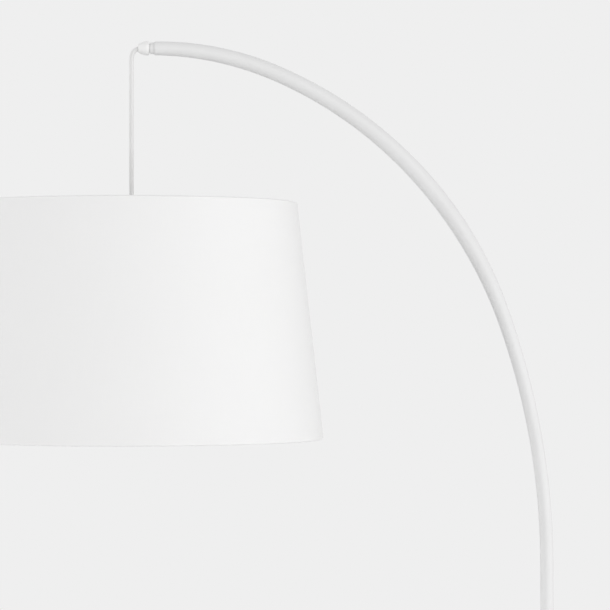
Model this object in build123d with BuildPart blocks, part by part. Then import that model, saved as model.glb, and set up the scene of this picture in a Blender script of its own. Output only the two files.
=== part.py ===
"""Arc floor lamp: a weighted round base, a jointed pole, a swivelling arc arm and a hanging drum shade.

The origin is on the floor at the pole's axis, +Z is up, and the arm reaches towards -X.
"""

import os
from math import cos, pi, radians, sin

from build123d import *

os.makedirs("parts", exist_ok=True)

# ---------------------------------------------------------------- driving dimensions, in millimetres
WALL = 1.2  # steel tube wall, pole and arm
POLE_R = 8.5
POLE_BORE_R = POLE_R - WALL
FLEX_R = 3.0  # the flex, all the way from the base to the lampholder
SCREW_R = 2.0  # the two small set screws
RUNNING_GAP = 0.05  # radial clearance of a turning fit
FACE_GAP = 0.2  # clearance between faces of different bodies
TUBE_BREAK = 0.4  # broken edge at the ends of the painted tubes

# Base
BASE_R = 150.0
SOLE_THICK = 3.0
WEIGHT_THICK = 16.0
COVER_THICK = 1.5
COVER_LIFT = 1.0  # the cover's rim stays this far off the floor
COVER_ROUND = 7.0
WEIGHT_R = 143.0
SOLE_R = 146.0
POCKET_DEPTH = 11.5  # wiring pocket in the underside of the weight
POCKET_R = 22.0
POCKET_LENGTH, POCKET_WIDTH = 62.0, 32.0
GROOVE_WIDTH = 11.0  # for the mains lead, from the pocket to the edge
STUD_R = 5.0
STUD_BORE_R = 3.5
INLET_R = 3.7
INLET_Z = 8.5

# Pole
POLE_JOINT_Z = 590.0
SWIVEL_Z = 1150.0
COUPLER_HALF = 30.0
SPIGOT_R = 5.5
SPIGOT_LENGTH = 45.0

# Arm: three tangent arcs from the level tip down to the upright leg
ARM_TIP_Z = 1966.5
ARM_RADII = (400.0, 540.0, 960.0)
ARM_TURNS = (23.5, 46.5, 20.0)  # degrees, 90 in all
ARM_SECTIONS = (  # degrees turned since the tip, outer diameter there
    (0, 18.0), (8, 19.2), (16, 20.0), (28, 20.6), (40, 21.4), (52, 22.2),
    (60, 21.4), (66, 20.0), (72, 18.2), (78, 17.1), (84, 17.0), (90, 17.0),
)

# Pendant
DROP_OFFSET = 30.5  # from the arm's end to the line the pendant hangs on
FLEX_BEND_R = 12.0
SWING_BELOW_TIP = 17.5  # the swing pivot under the level flex
SHADE_TOP_Z = 1766.0
SHADE_HEIGHT = 308.0
SHADE_TOP_R = 215.5
SHADE_BOTTOM_R = 250.0
SHADE_THICK = 1.0
SHADE_RING_R = 1.6  # wire radius of the shade's rings
CARRIER_DROP = 71.0  # recess of the carrier's centre ring under the shade's top
CARRIER_RING_R = 29.0
CARRIER_ARMS = (90, 210, 330)  # directions of the carrier's arms, degrees
HOLDER_R = 19.3

# ---------------------------------------------------------------- worked-out places
WEIGHT_TOP = SOLE_THICK + WEIGHT_THICK
COVER_TOP = WEIGHT_TOP + COVER_THICK
WEB_Z = SOLE_THICK + POCKET_DEPTH  # underside of the weight's web over the pocket
ARM_FOOT_Z = SWIVEL_Z + 1.0 + FACE_GAP  # over a washer 1 mm thick


def arm_stations():
    """The start point (x, z), start heading and end heading of each arc, from the tip down."""
    turned_to, spans = 0.0, []
    reach = 0.0
    for radius, turn in zip(ARM_RADII, ARM_TURNS):
        start, end = radians(turned_to), radians(turned_to + turn)
        reach += radius * (sin(end) - sin(start))
        spans.append((radius, start, end))
        turned_to += turn
    x, z, stations = -reach, ARM_TIP_Z, []
    for radius, start, end in spans:
        stations.append((x, z, radius, start, end))
        x += radius * (sin(end) - sin(start))
        z -= radius * (cos(start) - cos(end))
    return stations


ARCS = arm_stations()
TIP_X = ARCS[0][0]
LEG_TOP_Z = ARCS[-1][1] - ARCS[-1][2] * (cos(ARCS[-1][3]) - cos(ARCS[-1][4]))
DROP_X = TIP_X - DROP_OFFSET
PIVOT_Z = ARM_TIP_Z - SWING_BELOW_TIP
SHADE_BOTTOM_Z = SHADE_TOP_Z - SHADE_HEIGHT
CARRIER_Z = SHADE_TOP_Z - CARRIER_DROP


def arm_plane(turned):
    """The plane across the arm's centreline where it has turned by so many degrees from the tip."""
    heading = radians(turned)
    for x, z, radius, start, end in ARCS:
        if heading <= end + 1e-9:
            break
    there = (x + radius * (sin(heading) - sin(start)), 0, z - radius * (cos(start) - cos(heading)))
    return Plane(there, x_dir=(0, 1, 0), z_dir=(cos(heading), 0, -sin(heading)))


def shade_radius(z):
    """The shade's outer radius at a height."""
    share = (SHADE_TOP_Z - z) / SHADE_HEIGHT
    return SHADE_TOP_R + (SHADE_BOTTOM_R - SHADE_TOP_R) * share


def add_tube(outer, inner, low, high, x=0.0):
    """Adds an upright tube to the piece being built; an inner radius of 0 makes a rod."""
    with BuildSketch(Plane((x, 0, low))) as ring:
        Circle(outer)
        if inner:
            Circle(inner, mode=Mode.SUBTRACT)
    extrude(ring.sketch, amount=high - low)


def half_plane(direction=0.0):
    """The upright plane through the pendant's axis: its own x is the radius, its own y the height."""
    out = (cos(radians(direction)), sin(radians(direction)), 0)
    return Plane((DROP_X, 0, 0), x_dir=out, z_dir=(out[1], -out[0], 0))


def add_turned(points, direction=0.0, arc=360.0):
    """Adds a body turned about the pendant's upright axis, from its section's corners (radius, height)."""
    with BuildSketch(half_plane(direction)) as section:
        with BuildLine():
            Polyline(*points, close=True)
        make_face()
    revolve(section.sketch, axis=Axis((DROP_X, 0, 0), (0, 0, 1)), revolution_arc=arc)


def add_turned_level(points, z):
    """Adds a body turned about the level axis at height z, from its section's corners (x, radius)."""
    with BuildSketch(Plane((0, 0, z), x_dir=(1, 0, 0), z_dir=(0, -1, 0))) as section:
        with BuildLine():
            Polyline(*points, close=True)
        make_face()
    revolve(section.sketch, axis=Axis((0, 0, z), (1, 0, 0)))


def add_cone_band(low, high, outward, inward, direction=0.0, arc=360.0):
    """Adds a band that follows the shade's slope, between two offsets from its outer surface."""
    corners = [
        (shade_radius(low) + outward, low), (shade_radius(high) + outward, high),
        (shade_radius(high) - inward, high), (shade_radius(low) - inward, low),
    ]
    add_turned(corners, direction, arc)


def facing_y(x, y, z):
    """The plane that faces +Y at (x, y, z), for screws and their holes."""
    return Plane((x, y, z), x_dir=(1, 0, 0), z_dir=(0, 1, 0))


def break_edge(piece, end, size=TUBE_BREAK):
    """Chamfers the outer edge of the piece's lowest (0) or highest (-1) face."""
    chamfer(piece.faces().sort_by(Axis.Z)[end].outer_wire().edges(), size)


def finish(piece, label):
    """Names a piece and writes it."""
    piece.part.label = label
    export_step(piece.part, f"parts/{label}.step")


# ================================================================ base
# Rubber sole that the lamp stands on.
with BuildPart() as base_sole:
    add_tube(SOLE_R, 0, 0, SOLE_THICK)
    fillet(base_sole.edges().group_by(Axis.Z)[0], 0.8)
finish(base_sole, "base_sole")

# Cast-iron disc with a wiring pocket and a groove for the mains lead underneath.
with BuildPart() as base_weight:
    add_tube(WEIGHT_R, 0, SOLE_THICK, WEIGHT_TOP)
    chamfer(base_weight.edges().group_by(Axis.Z)[-1], 6)
    with BuildSketch(Plane.XY.offset(SOLE_THICK)):
        Circle(POCKET_R)
        with Locations((POCKET_LENGTH / 2, 0)):
            Rectangle(POCKET_LENGTH, POCKET_WIDTH)
        with Locations(((POCKET_LENGTH + WEIGHT_R) / 2, 0)):
            Rectangle(WEIGHT_R - POCKET_LENGTH + 8, GROOVE_WIDTH)
        with Locations((WEIGHT_R - 6, 0)):
            Rectangle(16, 18)
    extrude(amount=POCKET_DEPTH, mode=Mode.SUBTRACT)
    with Locations((0, 0, WEIGHT_TOP)):
        Hole(STUD_R + 0.2)
finish(base_weight, "base_weight")

# Spun steel cover, drawn down over the weight to just above the floor.
with BuildPart() as base_cover:
    add_tube(BASE_R, 0, COVER_LIFT, COVER_TOP)
    fillet(base_cover.edges().group_by(Axis.Z)[-1], COVER_ROUND)
    with BuildPart(mode=Mode.PRIVATE) as hollow:
        add_tube(BASE_R - COVER_THICK, 0, COVER_LIFT - 1, WEIGHT_TOP)
        fillet(hollow.edges().group_by(Axis.Z)[-1], COVER_ROUND - COVER_THICK)
    add(hollow.part, mode=Mode.SUBTRACT)
    with Locations((0, 0, COVER_TOP)):
        Hole(STUD_R + 0.2)
    with BuildSketch(Plane((BASE_R - 20, 0, INLET_Z), x_dir=(0, 1, 0), z_dir=(1, 0, 0))):
        Circle(5.3)
    extrude(amount=30, mode=Mode.SUBTRACT)
finish(base_cover, "base_cover")

# Round trim collar around the pole's foot.
with BuildPart() as base_collar:
    add_tube(19, POLE_R, COVER_TOP, COVER_TOP + 9)
    fillet(base_collar.edges().group_by(Axis.Z)[-1].sort_by(SortBy.LENGTH)[-1], 5)
finish(base_collar, "base_collar")

# Hollow threaded stud, washer and nut that pull the pole down onto the weight.
with BuildPart() as hollow_stud:
    add_tube(STUD_R, STUD_BORE_R, WEB_Z - 6.5, COVER_TOP + 27)
    break_edge(hollow_stud, 0, 0.6)
    break_edge(hollow_stud, -1, 0.6)
finish(hollow_stud, "hollow_stud")

with BuildPart() as stud_washer:
    add_tube(17, STUD_R + 0.2, WEB_Z - 2, WEB_Z)
finish(stud_washer, "stud_washer")

with BuildPart() as stud_nut:
    with BuildSketch(Plane.XY.offset(WEB_Z - 6)):
        RegularPolygon(8.5, 6, major_radius=False)
        Circle(STUD_R, mode=Mode.SUBTRACT)
    extrude(amount=4)
finish(stud_nut, "stud_nut")

# Rubber bush in the cover's side, where the mains lead enters.
BUSH_FLANGE_R = 6.4
with BuildPart() as mains_inlet_bush:
    inner_x, wall_x = BASE_R - COVER_THICK - 1.9, BASE_R + 0.05
    add_turned_level(
        [
            (inner_x, INLET_R), (inner_x, BUSH_FLANGE_R), (inner_x + 1.4, BUSH_FLANGE_R),
            (inner_x + 1.4, 5.2), (wall_x, 5.2), (wall_x, BUSH_FLANGE_R),
            (wall_x + 1.6, BUSH_FLANGE_R), (wall_x + 2.4, 5.3), (wall_x + 4.0, 4.9),
            (wall_x + 4.0, INLET_R),
        ],
        INLET_Z,
    )
finish(mains_inlet_bush, "mains_inlet_bush")

# Two-way terminal block, held against the weight's web, with its clamping screws.
BLOCK_X = (22.0, 46.0)
WIRE_SPREAD = 4.5
WIRE_Z = WEB_Z - 4.5
with BuildPart() as terminal_block:
    with BuildSketch(Plane.XY.offset(WEB_Z - 9)):
        with Locations(((BLOCK_X[0] + BLOCK_X[1]) / 2, 0)):
            RectangleRounded(BLOCK_X[1] - BLOCK_X[0], 20, 2)
    extrude(amount=9)
    with BuildSketch(Plane((BLOCK_X[0], 0, WIRE_Z), x_dir=(0, 1, 0), z_dir=(1, 0, 0))):
        with Locations((-WIRE_SPREAD, 0), (WIRE_SPREAD, 0)):
            Circle(1.6)
    extrude(amount=BLOCK_X[1] - BLOCK_X[0], mode=Mode.SUBTRACT)
    with BuildSketch(Plane.XY.offset(WEB_Z - 9)):
        with GridLocations(12, 2 * WIRE_SPREAD, 2, 2):
            with Locations(((BLOCK_X[0] + BLOCK_X[1]) / 2, 0)):
                Circle(1.5)
    extrude(amount=2.7, mode=Mode.SUBTRACT)
finish(terminal_block, "terminal_block")

with BuildPart() as terminal_screws:
    with BuildSketch(Plane.XY.offset(WEB_Z - 8.8)):
        with GridLocations(12, 2 * WIRE_SPREAD, 2, 2):
            with Locations(((BLOCK_X[0] + BLOCK_X[1]) / 2, 0)):
                Circle(1.5)
    extrude(amount=2.4)
finish(terminal_screws, "terminal_screws")

# The two cores of the flex, from inside the stud to the terminal block.
SHEATH_END_Z = COVER_TOP
with BuildPart() as core_wires:
    for side in (-1, 1):
        route = [
            (0, side * 1.5, SHEATH_END_Z), (0, side * 1.5, SOLE_THICK + 1.9),
            (11, side * 2.6, SOLE_THICK + 1.9), (17, side * WIRE_SPREAD, WIRE_Z),
            (BLOCK_X[0] + 7, side * WIRE_SPREAD, WIRE_Z),
        ]
        with BuildLine() as path:
            FilletPolyline(*route, radius=[3.0, 3.0, 3.0])
        with BuildSketch(Plane(route[0], z_dir=(0, 0, -1))) as section:
            Circle(1.1)
        sweep(section.sketch, path=path.wire())
finish(core_wires, "core_wires")

# ================================================================ pole
with BuildPart() as lower_pole:
    add_tube(POLE_R, POLE_BORE_R, COVER_TOP, POLE_JOINT_Z)
    break_edge(lower_pole, -1)
finish(lower_pole, "lower_pole")

# Threaded plug fixed in the pole's foot, which takes the stud.
with BuildPart() as foot_plug:
    add_tube(POLE_BORE_R, STUD_R, COVER_TOP, COVER_TOP + 30)
finish(foot_plug, "foot_plug")

# Hollow coupler that joins the two pole tubes.
with BuildPart() as pole_coupler:
    add_tube(POLE_BORE_R, 4.5, POLE_JOINT_Z - COUPLER_HALF, POLE_JOINT_Z + COUPLER_HALF)
    break_edge(pole_coupler, -1, 1)
finish(pole_coupler, "pole_coupler")

with BuildPart() as upper_pole:
    add_tube(POLE_R, POLE_BORE_R, POLE_JOINT_Z, SWIVEL_Z)
    break_edge(upper_pole, 0)
    break_edge(upper_pole, -1)
finish(upper_pole, "upper_pole")

# Spigot fixed in the pole's top. The arm turns on its thin upper end, which has a groove for the screw.
SCREW_Z = SWIVEL_Z + 31
with BuildPart() as swivel_spigot:
    add_tube(POLE_BORE_R, 4, SWIVEL_Z - 40, SWIVEL_Z)
    add_tube(SPIGOT_R, 4, SWIVEL_Z, SWIVEL_Z + SPIGOT_LENGTH)
    with BuildSketch(Plane.XY.offset(SCREW_Z - 2.6)):
        Circle(SPIGOT_R + 1)
        Circle(SPIGOT_R - 0.6, mode=Mode.SUBTRACT)
    extrude(amount=5.2, mode=Mode.SUBTRACT)
    break_edge(swivel_spigot, -1, 0.8)
finish(swivel_spigot, "swivel_spigot")

with BuildPart() as swivel_washer:
    add_tube(POLE_R, SPIGOT_R + RUNNING_GAP, SWIVEL_Z, SWIVEL_Z + 1)
finish(swivel_washer, "swivel_washer")

# The flex inside the pole.
with BuildPart() as pole_flex:
    add_tube(FLEX_R, 0, SHEATH_END_Z, SWIVEL_Z + 20)
finish(pole_flex, "pole_flex")

# ================================================================ arm
# Steel bush welded inside the arm's foot.
with BuildPart() as swivel_bush:
    add_tube(POLE_BORE_R, SPIGOT_R + RUNNING_GAP, ARM_FOOT_Z, ARM_FOOT_Z + SPIGOT_LENGTH + 3)
    with BuildSketch(facing_y(0, 0, SCREW_Z)):
        Circle(SCREW_R)
    extrude(amount=POLE_R + 1, mode=Mode.SUBTRACT)
finish(swivel_bush, "swivel_bush")

HEX_DEPTH = 1.9
# Grub screw whose point runs in the spigot's groove, so that the arm turns but can't lift off.
with BuildPart() as swivel_screw:
    with BuildSketch(facing_y(0, SPIGOT_R - 0.3, SCREW_Z)):
        Circle(SCREW_R)
    extrude(amount=POLE_R - SPIGOT_R)
    with BuildSketch(facing_y(0, POLE_R - HEX_DEPTH, SCREW_Z)):
        RegularPolygon(1, 6, major_radius=False)
    extrude(amount=2, mode=Mode.SUBTRACT)
finish(swivel_screw, "swivel_screw")

# Centreline of the arc, from the tip to the top of the straight leg.
with BuildLine(Plane.XZ) as arm_line:
    arc_start, arc_heading = (TIP_X, ARM_TIP_Z), (1, 0)
    for arc_radius, arc_turn in zip(ARM_RADII, ARM_TURNS):
        arc = JernArc(arc_start, arc_heading, arc_radius, -arc_turn)
        arc_start, arc_heading = arc @ 1, arc % 1

# The arm: a straight leg that runs on into the arc, thickest two thirds of the way up.
with BuildPart() as arm_tube:
    for shrink, how in ((0.0, Mode.ADD), (2 * WALL, Mode.SUBTRACT)):
        for turned, diameter in ARM_SECTIONS:
            with BuildSketch(arm_plane(turned)):
                Circle((diameter - shrink) / 2)
        sweep(path=arm_line.wire(), multisection=True, mode=how)
    add_tube(POLE_R, POLE_BORE_R, ARM_FOOT_Z, LEG_TOP_Z)
    break_edge(arm_tube, 0)
    with BuildSketch(facing_y(0, 0, SCREW_Z)):
        Circle(SCREW_R)
    extrude(amount=POLE_R + 1, mode=Mode.SUBTRACT)
finish(arm_tube, "arm_tube")

# The flex inside the arm, from the swivel to the gland at the tip.
GLAND_X = TIP_X - 16.5  # where the hanging flex begins
with BuildPart() as arm_flex:
    with BuildLine(Plane.XZ) as flex_path:
        lead = Line((GLAND_X + 0.3, ARM_TIP_Z), (TIP_X, ARM_TIP_Z))
        joined = lead
        for arc_radius, arc_turn in zip(ARM_RADII, ARM_TURNS):
            joined = JernArc(joined @ 1, joined % 1, arc_radius, -arc_turn)
        Line(joined @ 1, (0, SWIVEL_Z + 20 + 0.3))
    with BuildSketch(Plane((GLAND_X + 0.3, 0, ARM_TIP_Z), x_dir=(0, 1, 0), z_dir=(1, 0, 0))) as section:
        Circle(FLEX_R)
    sweep(section.sketch, path=flex_path.wire())
finish(arm_flex, "arm_flex")

# Plug in the arm's open end, with a narrow neck outside.
NECK_X = TIP_X - 6
with BuildPart() as arm_end_plug:
    add_turned_level(
        [
            (TIP_X + 13, 6), (TIP_X + 13, 7.2), (TIP_X, 7.4), (TIP_X, 8.2),
            (TIP_X - 0.8, 8.2), (TIP_X - 1.4, 7.5), (NECK_X, 7.5), (NECK_X, 6),
        ],
        ARM_TIP_Z,
    )
finish(arm_end_plug, "arm_end_plug")

# Threaded gland body, screwed into the plug.
with BuildPart() as gland_body:
    bore = FLEX_R + 0.2
    add_turned_level([(TIP_X + 13, bore), (TIP_X + 13, 6), (TIP_X - 12, 6), (TIP_X - 12, bore)], ARM_TIP_Z)
finish(gland_body, "gland_body")

# Rubber ring that the nut squeezes onto the flex.
with BuildPart() as gland_ring:
    add_turned_level(
        [(TIP_X - 12, FLEX_R), (TIP_X - 12, 5.8), (TIP_X - 15, 5.0), (TIP_X - 15, FLEX_R)], ARM_TIP_Z
    )
finish(gland_ring, "gland_ring")

# Domed gland nut with a flared mouth for the flex.
NUT_X = NECK_X - 1.6
NOSE_X = TIP_X - 21.5
SEAT_X = TIP_X - 15.2  # the ring's seat inside the nut
with BuildPart() as gland_nut:
    with BuildSketch(Plane((0, 0, ARM_TIP_Z), x_dir=(1, 0, 0), z_dir=(0, -1, 0))):
        with BuildLine():
            shoulder, nose = (NUT_X - 3.6, 9.2), (NOSE_X, 5.3)
            throat = (NOSE_X + 3.2, FLEX_R + 0.25)
            Polyline((SEAT_X, 6), (NUT_X, 6), (NUT_X, 8.5), (NUT_X - 1.4, 9.2), shoulder)
            RadiusArc(shoulder, nose, -22)
            Line(nose, (NOSE_X, 4.9))
            TangentArc(throat, (NOSE_X, 4.9), tangent=(-1, 0))
            Polyline(throat, (SEAT_X, FLEX_R + 0.25), (SEAT_X, 6))
        make_face()
    revolve(axis=Axis((0, 0, ARM_TIP_Z), (1, 0, 0)))
finish(gland_nut, "gland_nut")

# ================================================================ hanging flex
# Bend at the tip: it leaves the gland level and turns straight down, and rolls in the gland's mouth.
with BuildPart() as flex_bend:
    bend_route = [(GLAND_X, 0, ARM_TIP_Z), (DROP_X, 0, ARM_TIP_Z), (DROP_X, 0, PIVOT_Z + FLEX_R + FACE_GAP)]
    with BuildLine() as bend_path:
        FilletPolyline(*bend_route, radius=[FLEX_BEND_R])
    with BuildSketch(Plane(bend_route[0], x_dir=(0, 1, 0), z_dir=(-1, 0, 0))) as section:
        Circle(FLEX_R)
    sweep(section.sketch, path=bend_path.wire())
finish(flex_bend, "flex_bend")

# Straight drop, with a ball end centred on the swing pivot.
DROP_END_Z = CARRIER_Z + 28
with BuildPart() as flex_drop:
    add_tube(FLEX_R, 0, DROP_END_Z, PIVOT_Z, DROP_X)
    with Locations((DROP_X, 0, PIVOT_Z)):
        Sphere(FLEX_R)
finish(flex_drop, "flex_drop")

bend_length = (GLAND_X - DROP_X - FLEX_BEND_R) + pi / 2 * FLEX_BEND_R
bend_length += ARM_TIP_Z - FLEX_BEND_R - bend_route[-1][2]
print("flex radius at the tip", FLEX_BEND_R, "mm; bend", round(bend_length, 1), "mm long")
print("drop", round(PIVOT_Z - DROP_END_Z, 1), "mm, straight under the shade's weight")

# ================================================================ lampholder and bulb
CAP_BASE_Z = CARRIER_Z + 4.5
with BuildPart() as holder_cap:
    with BuildSketch(half_plane()):
        with BuildLine():
            rim, neck = (22, CAP_BASE_Z + 7), (8, CAP_BASE_Z + 27)
            inner_rim, inner_neck = (19.6, CAP_BASE_Z + 7), (5, CAP_BASE_Z + 26)
            Polyline((19.6, CAP_BASE_Z), (22, CAP_BASE_Z), rim)
            RadiusArc(rim, neck, -20)
            Polyline(neck, (8, CAP_BASE_Z + 30), (5, CAP_BASE_Z + 30), inner_neck)
            RadiusArc(inner_neck, inner_rim, 18.5)
            Line(inner_rim, (19.6, CAP_BASE_Z))
        make_face()
    revolve(axis=Axis((DROP_X, 0, 0), (0, 0, 1)))
finish(holder_cap, "holder_cap")

# Plastic cord grip in the cap's neck, with its nylon screw.
GRIP_TOP_Z = CAP_BASE_Z + 45
GRIP_SCREW_Z = CAP_BASE_Z + 38
with BuildPart() as cord_grip:
    add_tube(5, FLEX_R + RUNNING_GAP, CAP_BASE_Z + 24, CAP_BASE_Z + 30, DROP_X)
    add_tube(7, FLEX_R + RUNNING_GAP, CAP_BASE_Z + 30, GRIP_TOP_Z, DROP_X)
    fillet(cord_grip.edges().group_by(Axis.Z)[-1].sort_by(SortBy.LENGTH)[-1], 2)
    with BuildSketch(facing_y(DROP_X, 0, GRIP_SCREW_Z)):
        Circle(SCREW_R)
    extrude(amount=9, mode=Mode.SUBTRACT)
finish(cord_grip, "cord_grip")

with BuildPart() as grip_screw:
    with BuildSketch(facing_y(DROP_X, FLEX_R + 0.15, GRIP_SCREW_Z)):
        Circle(SCREW_R)
    extrude(amount=5.2)
    with BuildSketch(facing_y(DROP_X, FLEX_R + 4.35, GRIP_SCREW_Z)):
        Rectangle(0.7, 3)
    extrude(amount=2, mode=Mode.SUBTRACT)
finish(grip_screw, "grip_screw")

# Lampholder skirt, threaded outside for the two shade nuts.
SKIRT_LOW_Z = CARRIER_Z - 27
with BuildPart() as holder_skirt:
    add_tube(HOLDER_R, 17.3, SKIRT_LOW_Z, CARRIER_Z + 10, DROP_X)
    break_edge(holder_skirt, 0, 0.6)
finish(holder_skirt, "holder_skirt")

# Ceramic contact block in the holder, with its two contacts.
with BuildPart() as contact_block:
    add_tube(17.3, 0, CARRIER_Z + 5, CARRIER_Z + 14, DROP_X)
finish(contact_block, "contact_block")

with BuildPart() as centre_contact:
    with BuildSketch(Plane((DROP_X, 0, CARRIER_Z + 3.6))):
        Rectangle(5, 18)
    extrude(amount=0.6)
    with BuildSketch(Plane((DROP_X, 7, CARRIER_Z + 3.6))):
        Rectangle(5, 4)
    extrude(amount=1.4)
finish(centre_contact, "centre_contact")

# Brass screw shell that the bulb's cap screws into.
with BuildPart() as screw_shell:
    add_tube(14.2, 13.5, CARRIER_Z - 24, CARRIER_Z + 5, DROP_X)
finish(screw_shell, "screw_shell")

# Two nuts that clamp the carrier's centre ring.
for label, low in (("upper_shade_nut", CARRIER_Z + 1), ("lower_shade_nut", CARRIER_Z - 5)):
    with BuildPart() as shade_nut:
        with BuildSketch(Plane((DROP_X, 0, low))):
            Circle(27)
            with PolarLocations(27.6, 12):
                Circle(2.2, mode=Mode.SUBTRACT)
            Circle(HOLDER_R, mode=Mode.SUBTRACT)
        extrude(amount=3.5 if low > CARRIER_Z else 4)
        break_edge(shade_nut, 0, 0.5)
        break_edge(shade_nut, -1, 0.5)
    finish(shade_nut, label)

# Bulb: metal screw cap, plastic housing, board of diodes and opal globe.
BULB_CAP_TOP_Z = CARRIER_Z + 1.5
HOUSING_TOP_Z = CARRIER_Z - 24
GLOBE_TOP_Z = HOUSING_TOP_Z - 31
with BuildPart() as bulb_cap:
    add_tube(13.2, 12.4, HOUSING_TOP_Z, BULB_CAP_TOP_Z - 3.5, DROP_X)
    add_turned(
        [
            (0, BULB_CAP_TOP_Z - 4.5), (13.2, BULB_CAP_TOP_Z - 4.5), (13.2, BULB_CAP_TOP_Z - 3.5),
            (5, BULB_CAP_TOP_Z), (4.5, BULB_CAP_TOP_Z + 1.8), (0, BULB_CAP_TOP_Z + 1.8),
        ]
    )
finish(bulb_cap, "bulb_cap")

with BuildPart() as bulb_housing:
    with BuildSketch(half_plane()):
        with BuildLine():
            neck_end, hip, lip = (14.4, HOUSING_TOP_Z - 5), (23.6, HOUSING_TOP_Z - 22), (27.6, GLOBE_TOP_Z)
            Polyline((0, GLOBE_TOP_Z), (0, HOUSING_TOP_Z), (13.6, HOUSING_TOP_Z), neck_end)
            flare = TangentArc(neck_end, hip, tangent=(0.14, -1))
            TangentArc(hip, lip, tangent=flare % 1)
            Line(lip, (0, GLOBE_TOP_Z))
        make_face()
    revolve(axis=Axis((DROP_X, 0, 0), (0, 0, 1)))
finish(bulb_housing, "bulb_housing")

with BuildPart() as diode_board:
    add_tube(18, 0, GLOBE_TOP_Z - 1.2, GLOBE_TOP_Z, DROP_X)
    with BuildSketch(Plane((DROP_X, 0, GLOBE_TOP_Z - 2))):
        with PolarLocations(12, 8):
            Rectangle(3.5, 3.5)
    extrude(amount=0.8)
finish(diode_board, "diode_board")

with BuildPart() as bulb_globe:
    globe_r, globe_z = 30.0, GLOBE_TOP_Z - 11.76
    with Locations((DROP_X, 0, globe_z)):
        Sphere(globe_r)
        Sphere(globe_r - 1.5, mode=Mode.SUBTRACT)
    with BuildSketch(Plane((DROP_X, 0, GLOBE_TOP_Z))) as above:
        Circle(40)
    extrude(above.sketch, amount=40, mode=Mode.SUBTRACT)
finish(bulb_globe, "bulb_globe")

# ================================================================ shade
with BuildPart() as shade_fabric:
    add_cone_band(SHADE_BOTTOM_Z, SHADE_TOP_Z, 0, SHADE_THICK)
finish(shade_fabric, "shade_fabric")

# Wire carrier: the top ring and three arms that slope down to the flat centre ring, welded in one.
RING_SEAT = SHADE_THICK + SHADE_RING_R + 0.3  # ring's wire centre, in from the shade's surface
TOP_RING_Z = SHADE_TOP_Z - SHADE_RING_R - 0.6
TOP_RING_R = shade_radius(TOP_RING_Z) - RING_SEAT
with BuildPart() as shade_carrier:
    with Locations((DROP_X, 0, TOP_RING_Z)):
        Torus(TOP_RING_R, SHADE_RING_R)
    add_tube(CARRIER_RING_R, HOLDER_R + 0.2, CARRIER_Z - 1, CARRIER_Z + 1, DROP_X)
    for direction in CARRIER_ARMS:
        out = Vector(cos(radians(direction)), sin(radians(direction)), 0)
        low_end = Vector(DROP_X, 0, CARRIER_Z) + out * (CARRIER_RING_R - 1.5)
        high_end = Vector(DROP_X, 0, TOP_RING_Z) + out * TOP_RING_R
        run = high_end - low_end
        with BuildSketch(Plane(low_end, z_dir=run)) as section:
            Circle(SHADE_RING_R)
        extrude(section.sketch, amount=run.length)
finish(shade_carrier, "shade_carrier")

BOTTOM_RING_Z = SHADE_BOTTOM_Z + SHADE_RING_R + 0.6
with BuildPart() as shade_bottom_ring:
    with Locations((DROP_X, 0, BOTTOM_RING_Z)):
        Torus(shade_radius(BOTTOM_RING_Z) - RING_SEAT, SHADE_RING_R)
finish(shade_bottom_ring, "shade_bottom_ring")

# Turned-in edges of the covering, glued to its inside under and over the rings.
HEM_THICK = 0.5
with BuildPart() as shade_top_hem:
    hem_high = TOP_RING_Z - SHADE_RING_R - 0.5
    add_cone_band(hem_high - 9, hem_high, -SHADE_THICK, SHADE_THICK + HEM_THICK)
finish(shade_top_hem, "shade_top_hem")

with BuildPart() as shade_bottom_hem:
    hem_low = BOTTOM_RING_Z + SHADE_RING_R + 0.5
    add_cone_band(hem_low, hem_low + 9, -SHADE_THICK, SHADE_THICK + HEM_THICK)
finish(shade_bottom_hem, "shade_bottom_hem")

# Overlapping glued seam, on the side away from the front.
SEAM_WIDTH = 10.0
SEAM_THICK = 0.4
SEAM_DIRECTION = 90.0
seam_arc = SEAM_WIDTH / SHADE_BOTTOM_R * 180 / pi
with BuildPart() as shade_seam:
    add_cone_band(SHADE_BOTTOM_Z, SHADE_TOP_Z, SEAM_THICK, 0, SEAM_DIRECTION - seam_arc / 2, seam_arc)
finish(shade_seam, "shade_seam")
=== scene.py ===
"""Looks of the arc floor lamp: its arm, hanging flex, threads, welds, cloth shade and every material.

All sizes are metres in the part's own frame: the pole stands on the origin and the arm reaches towards -X.
"""

import math

import bmesh
import bpy
import numpy as np
from mathutils import Matrix, Vector


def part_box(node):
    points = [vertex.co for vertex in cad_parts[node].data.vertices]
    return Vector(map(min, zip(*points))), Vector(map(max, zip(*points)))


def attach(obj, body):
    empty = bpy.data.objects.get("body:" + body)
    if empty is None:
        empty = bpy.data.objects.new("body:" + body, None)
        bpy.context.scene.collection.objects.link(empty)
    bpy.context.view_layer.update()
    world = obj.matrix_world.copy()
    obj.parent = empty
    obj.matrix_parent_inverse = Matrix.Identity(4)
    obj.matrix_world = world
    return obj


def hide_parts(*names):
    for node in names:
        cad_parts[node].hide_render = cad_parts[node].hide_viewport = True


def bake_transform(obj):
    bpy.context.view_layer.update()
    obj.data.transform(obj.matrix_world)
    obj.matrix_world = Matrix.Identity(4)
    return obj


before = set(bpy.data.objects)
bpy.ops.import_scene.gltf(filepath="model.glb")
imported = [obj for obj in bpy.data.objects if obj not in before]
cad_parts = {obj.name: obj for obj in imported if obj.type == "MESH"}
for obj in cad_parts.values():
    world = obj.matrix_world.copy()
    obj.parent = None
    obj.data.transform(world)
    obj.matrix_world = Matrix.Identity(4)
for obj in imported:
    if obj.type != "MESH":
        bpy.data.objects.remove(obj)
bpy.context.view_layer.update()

MM = 0.001

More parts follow.
